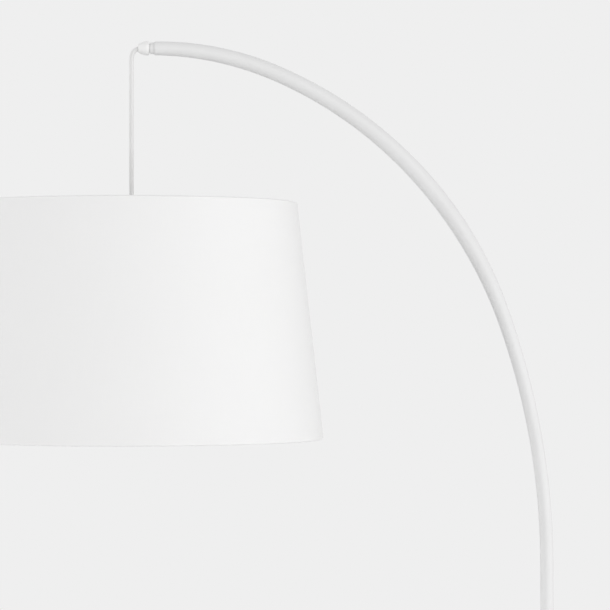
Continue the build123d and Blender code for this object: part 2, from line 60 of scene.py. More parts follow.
# ---------------------------------------------------------------- camera
EYE = (-0.3143, -3.9, 1.6)  # level with the middle of the shade
AIM = (-0.3143, 0.0, 1.6325)
LENS = 177.0
SENSOR = 36.0


def make_camera():
    """A long lens that looks along +Y at the shade and the arc."""
    data = bpy.data.cameras.new("camera")
    data.lens = LENS
    data.sensor_width = SENSOR
    data.clip_end = 100.0
    camera = bpy.data.objects.new("camera", data)
    camera.location = EYE
    camera.rotation_euler = (Vector(AIM) - Vector(EYE)).to_track_quat("-Z", "Y").to_euler()
    bpy.context.scene.collection.objects.link(camera)
    bpy.context.scene.camera = camera


make_camera()

# ---------------------------------------------------------------- measures read from the frame
bend_low, bend_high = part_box("flex_bend")
drop_low, drop_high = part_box("flex_drop")
shade_low, shade_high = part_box("shade_fabric")
nut_low, nut_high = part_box("gland_nut")
arm_low, arm_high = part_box("arm_tube")
screw_low, screw_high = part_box("swivel_screw")
globe_low, globe_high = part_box("bulb_globe")
skirt_low, skirt_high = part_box("holder_skirt")
cap_low, cap_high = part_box("bulb_cap")
shell_low, shell_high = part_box("screw_shell")

FLEX_R = (drop_high.x - drop_low.x) / 2
DROP_X = (drop_high.x + drop_low.x) / 2
TIP_Z = (nut_low.z + nut_high.z) / 2
SHADE_BOTTOM_R = (shade_high.y - shade_low.y) / 2
SKIRT_R = (skirt_high.y - skirt_low.y) / 2


def widest(node, low, high):
    """The largest distance of a node's vertices from the pendant's axis, between two heights."""
    found = [v.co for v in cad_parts[node].data.vertices if low <= v.co.z <= high]
    return max(math.hypot(co.x - DROP_X, co.y) for co in found)


SHADE_TOP_R = widest("shade_fabric", shade_high.z - 0.1 * MM, shade_high.z)


# ---------------------------------------------------------------- small helpers for meshes
ON_AXIS = 1e-9  # a radius under this is nothing


def mesh_object(name, vertices, faces, sharp=35.0):
    """A mesh object from points and faces, smooth but for edges sharper than the angle given."""
    mesh = bpy.data.meshes.new(name)
    mesh.from_pydata([tuple(v) for v in vertices], [], faces)
    mesh.validate()
    mesh.shade_smooth()
    mesh.set_sharp_from_angle(angle=math.radians(sharp))
    made = bpy.data.objects.new(name, mesh)
    bpy.context.scene.collection.objects.link(made)
    return made


def steps(start, end, count):
    """count + 1 evenly spaced values."""
    return [start + (end - start) * i / count for i in range(count + 1)]


def joined_rings(rings, sides, closed):
    """Faces between rings of sides points each; closed also joins the last ring to the first."""
    faces = []
    for i in range(rings if closed else rings - 1):
        a, b = i * sides, (i + 1) % rings * sides
        for k in range(sides):
            k2 = (k + 1) % sides
            faces.append((a + k, a + k2, b + k2, b + k))
    return faces


def tube(name, path, radius, sides=32):
    """A round tube with flat ends, whose rings are centred on the points of path."""
    points = [Vector(p) for p in path]
    side = (points[1] - points[0]).orthogonal().normalized()
    vertices = []
    for i, point in enumerate(points):
        ahead = (points[min(i + 1, len(points) - 1)] - points[max(i - 1, 0)]).normalized()
        side = (side - ahead * side.dot(ahead)).normalized()
        up = ahead.cross(side)
        for k in range(sides):
            turn = 2 * math.pi * k / sides
            vertices.append(point + radius * (math.cos(turn) * side + math.sin(turn) * up))
    faces = joined_rings(len(points), sides, closed=False)
    last = (len(points) - 1) * sides
    faces += [tuple(reversed(range(sides))), tuple(range(last, last + sides))]
    return mesh_object(name, vertices, faces, sharp=50.0)


def whole_turn(count):
    """Directions all round, evenly spaced."""
    return steps(0.0, 2 * math.pi, count)[:-1]


def close_on_axis(mesh):
    """Welds the points that lie together on the axis, and clears away what has collapsed there."""
    weld = bmesh.new()
    weld.from_mesh(mesh)
    bmesh.ops.remove_doubles(weld, verts=weld.verts, dist=1e-7)
    bmesh.ops.dissolve_degenerate(weld, edges=weld.edges, dist=1e-8)
    bmesh.ops.delete(weld, geom=[edge for edge in weld.edges if not edge.link_faces], context="EDGES")
    weld.to_mesh(mesh)
    weld.free()


def turned(name, section, turns, sharp=40.0):
    """A closed solid about the pendant's axis; section(turn) is its outline (radius, height) that way."""
    vertices = []
    for turn in turns:
        outline = section(turn)
        vertices += [(DROP_X + r * math.cos(turn), r * math.sin(turn), z) for r, z in outline]
    made = mesh_object(name, vertices, joined_rings(len(turns), len(outline), closed=True), sharp)
    if min(r for r, z in outline) < ON_AXIS:
        close_on_axis(made.data)
        made.data.set_sharp_from_angle(angle=math.radians(sharp))
    return made


def nurbs_points(name, route, resolution=24):
    """The points along the smooth line that a cord's route controls."""
    data = bpy.data.curves.new(name, "CURVE")
    data.dimensions = "3D"
    data.resolution_u = resolution
    spline = data.splines.new("NURBS")
    spline.points.add(len(route) - 1)
    for control, place in zip(spline.points, route):
        control.co = (*place, 1.0)
    spline.order_u = 3
    spline.use_endpoint_u = True
    carrier = bpy.data.objects.new(name, data)
    bpy.context.scene.collection.objects.link(carrier)
    bpy.context.view_layer.update()
    line = bpy.data.meshes.new_from_object(carrier.evaluated_get(bpy.context.evaluated_depsgraph_get()))
    points = [v.co.copy() for v in line.vertices]
    bpy.data.objects.remove(carrier)
    bpy.data.meshes.remove(line)
    return points


# ---------------------------------------------------------------- the hanging flex
FLEX_ROUTE = [  # out of the gland, over the bend and straight down into the lampholder's grip
    (-0.5260, 0.0, 1.9665),
    (-0.5400, 0.0, 1.9665),
    (-0.5400, 0.0, 1.9380),
    (-0.5400, 0.0, 1.9020),
    (-0.5400, 0.0, 1.7230),
]


def make_flex():
    """One flex from the gland to the lampholder, with its bend at the top, where the pendant swings."""
    path = nurbs_points("flex_route", FLEX_ROUTE)
    flex = tube("hanging_flex", path, FLEX_R)
    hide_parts("flex_bend", "flex_drop")
    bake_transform(flex)
    return flex


flex = make_flex()

# ---------------------------------------------------------------- the arm
ARM_RADII = (0.400, 0.540, 0.960)  # three tangent arcs, from the level tip to the upright leg
ARM_TURNS = (23.5, 46.5, 20.0)  # degrees, 90 in all
ARM_THICK = (  # degrees turned since the tip, and the tube's diameter there in millimetres
    (0, 18.0), (8, 19.2), (16, 20.0), (28, 20.6), (40, 21.4), (52, 22.2),
    (60, 21.4), (66, 20.0), (72, 18.2), (78, 17.1), (84, 17.0), (90, 17.0),
)
ARM_WALL = 1.2 * MM
ARM_SIDES = 72
RINGS_PER_DEGREE = 1.0
LEG_RINGS = 14
FOOT_BREAK = 0.4 * MM
BORE_SIDES = 48


def arm_radius(degrees):
    """The arm's outer radius, on a smooth curve through the diameters given."""
    turned_at, thick = np.array(ARM_THICK).T
    slope = np.gradient(thick, turned_at)
    i = min(np.searchsorted(turned_at, degrees, side="right") - 1, len(thick) - 2)
    span = turned_at[i + 1] - turned_at[i]
    t = (degrees - turned_at[i]) / span
    ends = (1 + 2 * t) * (1 - t) ** 2 * thick[i] + t * t * (3 - 2 * t) * thick[i + 1]
    lean = t * (1 - t) * ((1 - t) * slope[i] - t * slope[i + 1]) * span
    return (ends + lean) / 2 * MM


def arm_rings():
    """Middle (x, z), heading and outer radius of each ring, from the tip to the broken edge of the foot."""
    x, z, start = arm_low.x, TIP_Z, 0.0
    rings = [((x, z), 0.0, arm_radius(0.0))]
    for radius, turn in zip(ARM_RADII, ARM_TURNS):
        was = math.radians(start)
        for degrees in steps(start, start + turn, round(turn * RINGS_PER_DEGREE))[1:]:
            now = math.radians(degrees)
            across = radius * (math.sin(now) - math.sin(was))
            down = radius * (math.cos(was) - math.cos(now))
            rings.append(((x + across, z - down), now, arm_radius(degrees)))
        (x, z), start = rings[-1][0], start + turn
    radius = rings[-1][2]
    for height in steps(z, arm_low.z + FOOT_BREAK, LEG_RINGS)[1:]:
        rings.append(((0.0, height), math.pi / 2, radius))
    return rings


def bored(piece, place, radius, depth):
    """Cuts a round hole along Y into the piece, half its depth either side of place."""
    drill = bmesh.new()
    bmesh.ops.create_cone(
        drill, cap_ends=True, segments=BORE_SIDES, radius1=radius, radius2=radius, depth=depth,
    )
    mesh = bpy.data.meshes.new("drill")
    drill.to_mesh(mesh)
    drill.free()
    tool = bpy.data.objects.new("drill", mesh)
    tool.matrix_world = Matrix.Translation(place) @ Matrix.Rotation(math.pi / 2, 4, "X")
    bpy.context.scene.collection.objects.link(tool)
    cut = piece.modifiers.new("cut", "BOOLEAN")
    cut.operation = "DIFFERENCE"
    cut.solver = "EXACT"
    cut.object = tool
    bpy.context.view_layer.update()
    result = bpy.data.meshes.new_from_object(piece.evaluated_get(bpy.context.evaluated_depsgraph_get()))
    piece.modifiers.clear()
    piece.data = result
    bpy.data.objects.remove(tool)
    result.set_sharp_from_angle(angle=math.radians(35.0))


def make_arm():
    """The arm's tube: arc and leg in one, with its bore, broken foot edge and the swivel screw's hole."""
    outside = arm_rings()
    (foot_x, _), down, foot_r = outside[-1]
    inside = [(middle, heading, radius - ARM_WALL) for middle, heading, radius in reversed(outside)]
    inside[0] = ((foot_x, arm_low.z), down, foot_r - ARM_WALL)
    rings = outside + [((foot_x, arm_low.z), down, foot_r - FOOT_BREAK)] + inside
    vertices = []
    for (x, z), heading, radius in rings:
        for turn in whole_turn(ARM_SIDES):
            out = radius * math.cos(turn)
            place = (x + out * math.sin(heading), radius * math.sin(turn), z + out * math.cos(heading))
            vertices.append(place)
    arm = mesh_object("arm_skin", vertices, joined_rings(len(rings), ARM_SIDES, closed=True))
    screw_r = (screw_high.x - screw_low.x) / 2
    middle = (screw_low + screw_high) / 2
    bored(arm, (middle.x, screw_high.y, middle.z), screw_r, 4 * ARM_WALL)
    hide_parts("arm_tube")
    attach(arm, "arm")
    return arm


arm = make_arm()

# ---------------------------------------------------------------- lampholder and bulb
SKIRT_WALL = 2.0 * MM
SKIRT_EDGE = 0.6 * MM  # the slope at its lower edge, inside and out
SKIRT_PITCH = 2.5 * MM
SKIRT_DEPTH = 0.55 * MM
CAP_PITCH = 3.63 * MM  # the usual screw of a large bulb
CAP_DEPTH = 1.1 * MM
CAP_SHEET = 0.3 * MM
CAP_CONE = (  # radius and height over the cap's top, from the thread to the contact, in millimetres
    (11.4, -5.6), (9.6, -4.6), (5.6, -2.2), (5.0, -1.9), (4.6, -0.5), (3.4, 0.0), (0.0, 0.0),
)
CAP_THREAD_HIGH = cap_high.z - 6.3 * MM
SHELL_GAP = 0.2 * MM
THREAD_ROWS = 10  # points along each pitch
THREAD_SIDES = 96
GLOBE_WALL = 1.5 * MM
GLOBE_ROWS = 40


def crest(z, turn, pitch):
    """How far up a rounded right-hand thread a point is, 0 in the root and 1 on the crest."""
    return 0.5 + 0.5 * math.cos(2 * math.pi * z / pitch - turn)


def run_out(z, low, high, length):
    """1 along a thread, falling smoothly to 0 at both its ends."""
    near = max(0.0, min(1.0, (z - low) / length, (high - z) / length))
    return near * near * (3 - 2 * near)


def thread_levels(low, high, pitch):
    return steps(low, high, round((high - low) / pitch * THREAD_ROWS))


def make_skirt():
    """The holder's skirt with its outside thread for the two ring nuts."""
    low, high = skirt_low.z, skirt_high.z
    edge_z = low + SKIRT_EDGE
    bore = SKIRT_R - SKIRT_WALL

    def section(turn):
        outline = [(bore, high), (bore, edge_z), (bore + SKIRT_EDGE, low), (SKIRT_R - 2 * SKIRT_EDGE, low)]
        for z in thread_levels(edge_z, high, SKIRT_PITCH):
            cut = (1 - crest(z, turn, SKIRT_PITCH)) * run_out(z, low, high + SKIRT_PITCH, SKIRT_PITCH)
            outline.append((SKIRT_R - SKIRT_EDGE * (z == edge_z) - SKIRT_DEPTH * cut, z))
        return outline[::-1]

    skirt = turned("threaded_skirt", section, whole_turn(THREAD_SIDES))
    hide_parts("holder_skirt")
    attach(skirt, "pendant")
    return skirt


def cap_radius(z, turn, low, high):
    """The outside of the bulb cap's rolled thread."""
    rise = crest(z, turn, CAP_PITCH) * run_out(z, low, high, 0.8 * CAP_PITCH)
    return (cap_high.y - cap_low.y) / 2 - CAP_DEPTH * (1 - rise)


def make_bulb_cap():
    """The bulb's screw cap: thin rolled metal, closed by a cone with the centre contact on it."""
    levels = thread_levels(cap_low.z, CAP_THREAD_HIGH, CAP_PITCH)
    cone = [(r * MM, cap_high.z + dz * MM) for r, dz in CAP_CONE]

    def section(turn):
        thread = [(cap_radius(z, turn, cap_low.z, CAP_THREAD_HIGH), z) for z in levels]
        inside = [(r - CAP_SHEET, z) for r, z in thread]
        inside += [(max(r - CAP_SHEET, 0.0), z - CAP_SHEET) for r, z in cone]
        return (thread + cone)[::-1] + inside

    cap = turned("bulb_screw_cap", section, whole_turn(THREAD_SIDES))
    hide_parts("bulb_cap")
    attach(cap, "pendant")
    return cap


def make_screw_shell():
    """The lampholder's brass shell, rolled to the same thread as the bulb's cap."""
    levels = thread_levels(shell_low.z, shell_high.z, CAP_PITCH)
    start, end = cap_low.z - CAP_PITCH, CAP_THREAD_HIGH + CAP_PITCH

    def section(turn):
        inside = [(cap_radius(z, turn, start, end) + SHELL_GAP, z) for z in levels]
        return [(r + CAP_SHEET, z) for r, z in reversed(inside)] + inside

    shell = turned("rolled_screw_shell", section, whole_turn(THREAD_SIDES))
    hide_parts("screw_shell")
    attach(shell, "pendant")
    return shell


def make_globe():
    """The bulb's opal globe, a thin even shell."""
    outer = (globe_high.y - globe_low.y) / 2
    middle = globe_low.z + outer

    def arc(radius):
        """From the pole at the bottom to the open end at the top."""
        opening = math.asin((globe_high.z - middle) / radius)
        turns = steps(-math.pi / 2, opening, GLOBE_ROWS)
        points = [(radius * math.cos(a), middle + radius * math.sin(a)) for a in turns]
        return [(0.0 if r < ON_AXIS else r, z) for r, z in points]

    outline = arc(outer - GLOBE_WALL) + arc(outer)[::-1]
    globe = turned("opal_globe", lambda turn: outline, whole_turn(THREAD_SIDES))
    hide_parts("bulb_globe")
    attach(globe, "pendant")
    return globe


CARRIER_ARMS = (90, 210, 330)  # directions of the carrier's arms, degrees
WELD_R = (2.7 * MM, 3.0 * MM, 1.9 * MM)  # half size outwards, across and upwards
WELD_PLACE_R = 29.0 * MM


def unevenness(x, y, z, number):
    """How far a point of a bead on a unit sphere stands out or in, different on each bead."""
    return 1 + 0.06 * math.sin(5 * x + 2 * number) * math.cos(4 * y + number) + 0.04 * math.sin(9 * z)


def make_welds():
    """The beads that join the carrier's arms to its centre ring, a little uneven, as hand welds are."""
    beads = bmesh.new()
    ring_z = (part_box("lower_shade_nut")[1].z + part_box("upper_shade_nut")[0].z) / 2
    for number, direction in enumerate(CARRIER_ARMS):
        turn = Matrix.Rotation(math.radians(direction), 4, "Z")
        bead = bmesh.ops.create_icosphere(beads, subdivisions=4, radius=1.0)["verts"]
        for vertex in bead:
            x, y, z = vertex.co
            spot = Vector((x * WELD_R[0], y * WELD_R[1], z * WELD_R[2])) * unevenness(x, y, z, number)
            vertex.co = turn @ (spot + Vector((WELD_PLACE_R, 0.0, 0.0))) + Vector((DROP_X, 0.0, ring_z))
    mesh = bpy.data.meshes.new("carrier_welds")
    beads.to_mesh(mesh)
    beads.free()
    mesh.shade_smooth()
    welds = bpy.data.objects.new("carrier_welds", mesh)
    bpy.context.scene.collection.objects.link(welds)
    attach(welds, "pendant")
    return welds


NEW_PIECES = {  # the slot of each, which gives its material
    make_skirt(): "white_plastic",
    make_bulb_cap(): "nickel_cap",
    make_screw_shell(): "brass",
    make_globe(): "opal_diffuser",
    make_welds(): "white_wire",
    arm: "white_paint",
    flex: "white_flex",
}


# ---------------------------------------------------------------- materials
class Surface:
    """A material's node tree around one Principled shader, with short ways to add nodes."""

    def __init__(self, name, roughness=0.5, metallic=0.0):
        self.material = bpy.data.materials.new(name)
        self.material.use_nodes = True
        self.tree = self.material.node_tree
        self.tree.nodes.clear()
        self.output = self.add("OutputMaterial")
        self.shader = self.add("BsdfPrincipled", {"Roughness": roughness, "Metallic": metallic})
        self.put(self.output.inputs["Surface"], self.shader.outputs["BSDF"])
        self.place = self.add("TexCoord").outputs["Object"]

    def add(self, kind, inputs=None, **settings):
        node = self.tree.nodes.new("ShaderNode" + kind)
        for key, value in settings.items():
            setattr(node, key, value)
        for key, value in (inputs or {}).items():
            self.put(node.inputs[key], value)
        return node

    def put(self, socket, value):
        """Links the value if it is another node's output, and sets it if it is a number or colour."""
        if isinstance(value, bpy.types.NodeSocket):
            self.tree.links.new(value, socket)
        else:
            socket.default_value = value

    def maths(self, operation, *values):
        node = self.add("Math", operation=operation)
        for socket, value in zip(node.inputs, values):
            self.put(socket, value)
        return node.outputs[0]

    def stretched(self, scale):
        """The object's coordinates, scaled by a different number along each axis."""
        return self.add("Mapping", {"Vector": self.place, "Scale": scale}).outputs["Vector"]

    def noise(self, scale, detail=2.0, roughness=0.5, place=None):
        inputs = {"Vector": place or self.place, "Scale": scale, "Detail": detail, "Roughness": roughness}
        return self.add("TexNoise", inputs).outputs["Fac"]

    def between(self, value, low, high):
        """The value, 0 to 1, spread from low to high."""
        inputs = {"Value": value, "From Min": 0.25, "From Max": 0.75, "To Min": low, "To Max": high}
        return self.add("MapRange", inputs, clamp=True).outputs["Result"]

    def blend(self, share, first, second):
        node = self.add("Mix", data_type="RGBA")
        self.put(node.inputs[0], share)
        self.put(node.inputs[6], first)
        self.put(node.inputs[7], second)
        return node.outputs[2]

    def colour(self, value):
        self.put(self.shader.inputs["Base Color"], value)

    def bump(self, *layers):
        """Stacks bump layers, each (height, depth in metres, strength)."""
        normal = None
        for height, depth, strength in layers:
            node = self.add("Bump", {"Height": height, "Distance": depth, "Strength": strength})
            if normal is not None:
                self.put(node.inputs["Normal"], normal)
            normal = node.outputs["Normal"]
        self.put(self.shader.inputs["Normal"], normal)
        return normal


def grey(value, warmth=0.0):
    """A near-neutral colour, warmer or cooler by a small share."""
    return (value * (1 + warmth), value, value * (1 - warmth), 1.0)


def powder_coat():
    """White powder coat on steel: satin, with fine orange peel and a slow change of film thickness."""
    s = Surface("powder_coat")
    slow = s.noise(7.0, 3.0)
    fine = s.noise(160.0, 2.0)
    s.colour(s.blend(s.between(slow, 0.0, 1.0), grey(0.715, 0.002), grey(0.745, -0.001)))
    s.put(s.shader.inputs["Roughness"], s.between(fine, 0.36, 0.46))
    s.bump((s.noise(520.0, 1.0), 0.09 * MM, 0.22), (s.noise(2600.0, 1.0), 0.02 * MM, 0.18))
    return s.material


def wire_coat():
    """The thicker, glossier dip coat on the shade's wires."""
    s = Surface("wire_coat")
    s.colour(s.blend(s.between(s.noise(60.0), 0.0, 1.0), grey(0.78, 0.004), grey(0.83)))
    s.put(s.shader.inputs["Roughness"], s.between(s.noise(240.0), 0.32, 0.42))
    s.bump((s.noise(90.0, 1.0), 0.05 * MM, 0.15))
    return s.material


def moulded_plastic(name, low, high, warmth, rough):
    """Injection-moulded plastic with a fine eroded grain and a trace of light under its skin."""
    s = Surface(name)
    s.colour(s.blend(s.between(s.noise(35.0), 0.0, 1.0), grey(low, warmth), grey(high, warmth * 0.5)))
    s.put(s.shader.inputs["Roughness"], s.between(s.noise(900.0), rough - 0.05, rough + 0.07))
    s.put(s.shader.inputs["Subsurface Weight"], 0.12)
    s.put(s.shader.inputs["Subsurface Radius"], (1.2 * MM, 1.2 * MM, 1.2 * MM))
    s.put(s.shader.inputs["Subsurface Scale"], 1.0)
    s.bump((s.noise(2400.0, 2.0), 0.03 * MM, 0.25))
    return s.material


def flex_sheath():
    """White PVC flex: smooth, with faint lines along it from the extruder and a slow wander in gloss."""
    s = Surface("flex_sheath")
    along = s.stretched((1900.0, 1900.0, 14.0))
    s.colour(s.blend(s.between(s.noise(24.0), 0.0, 1.0), grey(0.69, 0.004), grey(0.73, 0.001)))
    s.put(s.shader.inputs["Roughness"], s.between(s.noise(90.0), 0.30, 0.44))
    s.put(s.shader.inputs["Subsurface Weight"], 0.10)
    s.put(s.shader.inputs["Subsurface Radius"], (0.8 * MM, 0.8 * MM, 0.8 * MM))
    s.put(s.shader.inputs["Subsurface Scale"], 1.0)
    s.bump((s.noise(1.0, 2.0, place=along), 0.03 * MM, 0.2), (s.noise(210.0), 0.08 * MM, 0.15))
    return s.material


def rubber(name, low, high):
    """Matt rubber with a fine bloom."""
    s = Surface(name)
    s.colour(s.blend(s.between(s.noise(120.0, 4.0), 0.0, 1.0), grey(low), grey(high)))
    s.put(s.shader.inputs["Roughness"], s.between(s.noise(400.0), 0.62, 0.82))
    s.bump((s.noise(1500.0, 3.0), 0.06 * MM, 0.5))
    return s.material


def sole_rubber():
    """Black rubber sheet with small raised pips, as an anti-slip sole has."""
    s = Surface("sole_rubber")
    cells = s.add("TexVoronoi", {"Vector": s.place, "Scale": 330.0, "Randomness": 0.12})
    pips = s.between(s.maths("SUBTRACT", 1.0, cells.outputs["Distance"]), 0.0, 1.0)
    s.colour(s.blend(s.between(s.noise(45.0, 5.0), 0.0, 1.0), grey(0.020), grey(0.036, 0.02)))
    s.put(s.shader.inputs["Roughness"], s.between(s.noise(300.0), 0.70, 0.92))
    s.bump((pips, 0.4 * MM, 0.6), (s.noise(1800.0, 3.0), 0.05 * MM, 0.4))
    return s.material


def turned_metal(name, dark, light, rough, streak_axis=2):
    """Plated or bare metal with fine tool lines across one axis and faint stains."""
    s = Surface(name, metallic=1.0)
    scale = [60.0, 60.0, 60.0]
    scale[streak_axis] = 5200.0
    lines = s.noise(1.0, 3.0, place=s.stretched(scale))
    s.colour(s.blend(s.between(s.noise(70.0, 4.0), 0.0, 1.0), dark, light))
    s.put(s.shader.inputs["Roughness"], s.between(lines, rough - 0.07, rough + 0.10))
    s.bump((lines, 0.02 * MM, 0.3))
    return s.material


def cast_iron():
    """Sand-cast iron with a thin dark primer."""
    s = Surface("cast_iron")
    grain = s.noise(420.0, 6.0, 0.65)
    s.colour(s.blend(s.between(grain, 0.0, 1.0), grey(0.035, 0.05), grey(0.085, 0.03)))
    s.put(s.shader.inputs["Roughness"], s.between(s.noise(150.0), 0.62, 0.85))
    s.bump((grain, 0.5 * MM, 0.7), (s.noise(55.0), 0.8 * MM, 0.4))
    return s.material


def porcelain():
    """Glazed steatite with small dark specks under the glaze."""
    s = Surface("porcelain")
    specks = s.maths("GREATER_THAN", s.noise(1400.0, 1.0), 0.74)
    s.colour(s.blend(specks, grey(0.78, 0.02), grey(0.30, 0.10)))
    s.put(s.shader.inputs["Roughness"], s.between(s.noise(120.0), 0.12, 0.24))
    s.bump((s.noise(260.0), 0.05 * MM, 0.3))
    return s.material


def core_insulation():
    """One brown core and one blue core, either side of the middle."""
    s = Surface("core_insulation", roughness=0.4)
    side = s.add("SeparateXYZ", {"Vector": s.place}).outputs["Y"]
    blue_side = s.maths("GREATER_THAN", side, 0.0)
    mottle = s.between(s.noise(300.0), 0.0, 1.0)
    brown = s.blend(mottle, (0.085, 0.035, 0.015, 1), (0.11, 0.048, 0.022, 1))
    blue = s.blend(mottle, (0.012, 0.055, 0.24, 1), (0.018, 0.075, 0.30, 1))
    s.colour(s.blend(blue_side, brown, blue))
    s.put(s.shader.inputs["Roughness"], s.between(s.noise(200.0), 0.30, 0.45))
    return s.material


def opal():
    """Opal polycarbonate of the bulb's globe: milky, smooth, slightly lit from inside its skin."""
    s = Surface("opal")
    s.colour(s.blend(s.between(s.noise(30.0), 0.0, 1.0), grey(0.84, 0.012), grey(0.88, 0.006)))
    s.put(s.shader.inputs["Roughness"], s.between(s.noise(90.0), 0.34, 0.42))
    s.put(s.shader.inputs["Subsurface Weight"], 0.25)
    s.put(s.shader.inputs["Subsurface Radius"], (3.6 * MM, 3.6 * MM, 3.6 * MM))
    s.put(s.shader.inputs["Subsurface Scale"], 1.0)
    s.bump((s.noise(140.0, 1.0), 0.03 * MM, 0.15))
    return s.material


def diode_board():
    """White solder mask with yellow phosphor on the diodes that stand proud of it."""
    s = Surface("diode_board")
    height = s.add("SeparateXYZ", {"Vector": s.place}).outputs["Z"]
    on_diodes = s.maths("LESS_THAN", height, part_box("diode_board")[0].z + 0.7 * MM)
    mottle = s.between(s.noise(700.0), 0.0, 1.0)
    mask = s.blend(mottle, grey(0.72), grey(0.78))
    phosphor = s.blend(mottle, (0.80, 0.62, 0.10, 1), (0.85, 0.70, 0.16, 1))
    s.colour(s.blend(on_diodes, mask, phosphor))
    s.put(s.shader.inputs["Roughness"], s.between(s.noise(500.0), 0.35, 0.50))
    return s.material


THREAD_PITCH = 0.62 * MM
SHINE_THROUGH = 0.18  # share of the light that passes the laminate


def shade_cloth():
    """Plain-woven white cotton: warp and weft run straight in the flat cut, with thick and thin threads and
    painted shade in the gaps between them.
    """
    s = Surface("shade_cloth", roughness=0.86)
    cut = s.add("UVMap", uv_map="cut").outputs["UV"]
    flat = s.add("SeparateXYZ", {"Vector": cut})
    turns = []
    for axis in ("X", "Y"):
        along = s.maths("MULTIPLY", flat.outputs[axis], 2 * math.pi / THREAD_PITCH)
        turns.append(s.maths("COSINE", along))
    weave = s.maths("MULTIPLY_ADD", s.maths("ADD", *turns), 0.25, 0.5)
    slubs = []
    for scale in ((26.0, 1300.0, 1.0), (1300.0, 26.0, 1.0)):
        place = s.add("Mapping", {"Vector": cut, "Scale": scale}).outputs["Vector"]
        slubs.append(s.noise(1.0, 1.0, place=place))
    thread = s.maths("MULTIPLY", s.maths("ADD", *slubs), 0.5)
    cloud = s.noise(5.0, 2.0)
    tone = s.maths("MULTIPLY_ADD", thread, 0.7, s.maths("MULTIPLY", cloud, 0.3))
    white = s.blend(s.between(tone, 0.0, 1.0), grey(0.92, 0.003), grey(0.95, 0.001))
    # Painted shade: the colour goes lighter on the threads' crossings and stays darker in the gaps between
    # them, following the weave's height; the translucent layer uses the same colour.
    weave_painted_shade = s.blend(s.maths("MULTIPLY", weave, 0.5), white, grey(0.95, 0.0))
    s.colour(weave_painted_shade)
    s.put(s.shader.inputs["Sheen Weight"], 0.45)
    s.put(s.shader.inputs["Sheen Roughness"], 0.45)
    s.put(s.shader.inputs["Specular IOR Level"], 0.22)
    normal = s.bump((weave, 0.10 * MM, 0.35), (thread, 0.16 * MM, 0.35))
    through = s.add("BsdfTranslucent", {"Color": weave_painted_shade, "Normal": normal})
    mix = s.add("MixShader", {0: SHINE_THROUGH, 1: s.shader.outputs["BSDF"], 2: through.outputs["BSDF"]})
    s.put(s.output.inputs["Surface"], mix.outputs["Shader"])
    return s.material


def shade_lining():
    """The white styrene film that the cloth is laminated on, seen inside the shade."""
    s = Surface("shade_lining")
    tone = s.between(s.noise(9.0, 3.0), 0.0, 1.0)
    white = s.blend(tone, grey(0.86, 0.006), grey(0.90, 0.002))
    s.colour(white)
    s.put(s.shader.inputs["Roughness"], s.between(s.noise(60.0), 0.50, 0.62))
    normal = s.bump((s.noise(1200.0, 2.0), 0.05 * MM, 0.3), (s.noise(40.0), 0.5 * MM, 0.2))
    through = s.add("BsdfTranslucent", {"Color": white, "Normal": normal})
    mix = s.add("MixShader", {0: SHINE_THROUGH, 1: s.shader.outputs["BSDF"], 2: through.outputs["BSDF"]})
    s.put(s.output.inputs["Surface"], mix.outputs["Shader"])
    return s.material


MATERIALS = {
    "white_paint": powder_coat(),
    "white_plastic": moulded_plastic("holder_plastic", 0.79, 0.83, 0.003, 0.42),
    "white_flex": flex_sheath(),
    "white_rubber": rubber("white_rubber_mould", 0.66, 0.72),
    "nylon": moulded_plastic("nylon_mould", 0.74, 0.80, 0.012, 0.36),
    "white_wire": wire_coat(),
    "steel": turned_metal("zinc_plate", (0.52, 0.53, 0.54, 1), (0.66, 0.67, 0.69, 1), 0.34),
    "cast_iron": cast_iron(),
    "rubber_sole": sole_rubber(),
    "brass": turned_metal("brass_sheet", (0.66, 0.47, 0.20, 1), (0.80, 0.60, 0.28, 1), 0.30),
    "porcelain": porcelain(),
    "terminal_plastic": moulded_plastic("polyamide", 0.70, 0.76, 0.05, 0.45),
    "core_insulation": core_insulation(),
    "nickel_cap": turned_metal("nickel_plate", (0.60, 0.58, 0.54, 1), (0.72, 0.70, 0.66, 1), 0.26),
    "bulb_plastic": moulded_plastic("bulb_mould", 0.80, 0.85, 0.004, 0.38),
    "opal_diffuser": opal(),
    "board_aluminium": diode_board(),
    "shade_cloth": shade_cloth(),
}
LINING = shade_lining()


def dress(piece, slot):
    """Gives a new piece the material of its slot."""
    piece.data.materials.append(MATERIALS[slot])


def dress_cad_nodes():
    """Every CAD node gets the material of the slot that it was packed with."""
    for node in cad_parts.values():
        for place in node.material_slots:
            place.material = MATERIALS[place.material.name]


dress_cad_nodes()
for piece, slot in NEW_PIECES.items():
    dress(piece, slot)

# ---------------------------------------------------------------- shade
CLOTH = 0.4 * MM
LINING_THICK = 0.6 * MM
WALL = CLOTH + LINING_THICK
RING_WIRE = 1.6 * MM
RING_IN = WALL + 1.9 * MM  # from the shade's outer surface to the middle of a ring's wire
RING_END = 2.2 * MM  # from the shade's end to the middle of a ring's wire
RING_CLEAR = 0.6 * MM  # from a ring's wire to the film's end
HEM = 12 * MM
SEAM_TURN = math.pi / 2  # the seam is at the back
SEAM_HALF = 5 * MM
SEAM_RISE = 0.45 * MM
SEAM_EASE = 12 * MM
COLUMNS = 360
SLOPE = (SHADE_BOTTOM_R - SHADE_TOP_R) / (shade_high.z - shade_low.z)


def shade_radius(z):
    """The shade's outer radius at a height."""
    return SHADE_TOP_R + SLOPE * (shade_high.z - z)


def bezier(a, b, c, d, count):
    """Points along a cubic curve in the section's plane, without the first."""
    a, b, c, d = (np.array(p) for p in (a, b, c, d))
    found = []
    for t in steps(0.0, 1.0, count)[1:]:
        u = 1 - t
        found.append(u**3 * a + 3 * u * u * t * b + 3 * u * t * t * c + t**3 * d)
    return found


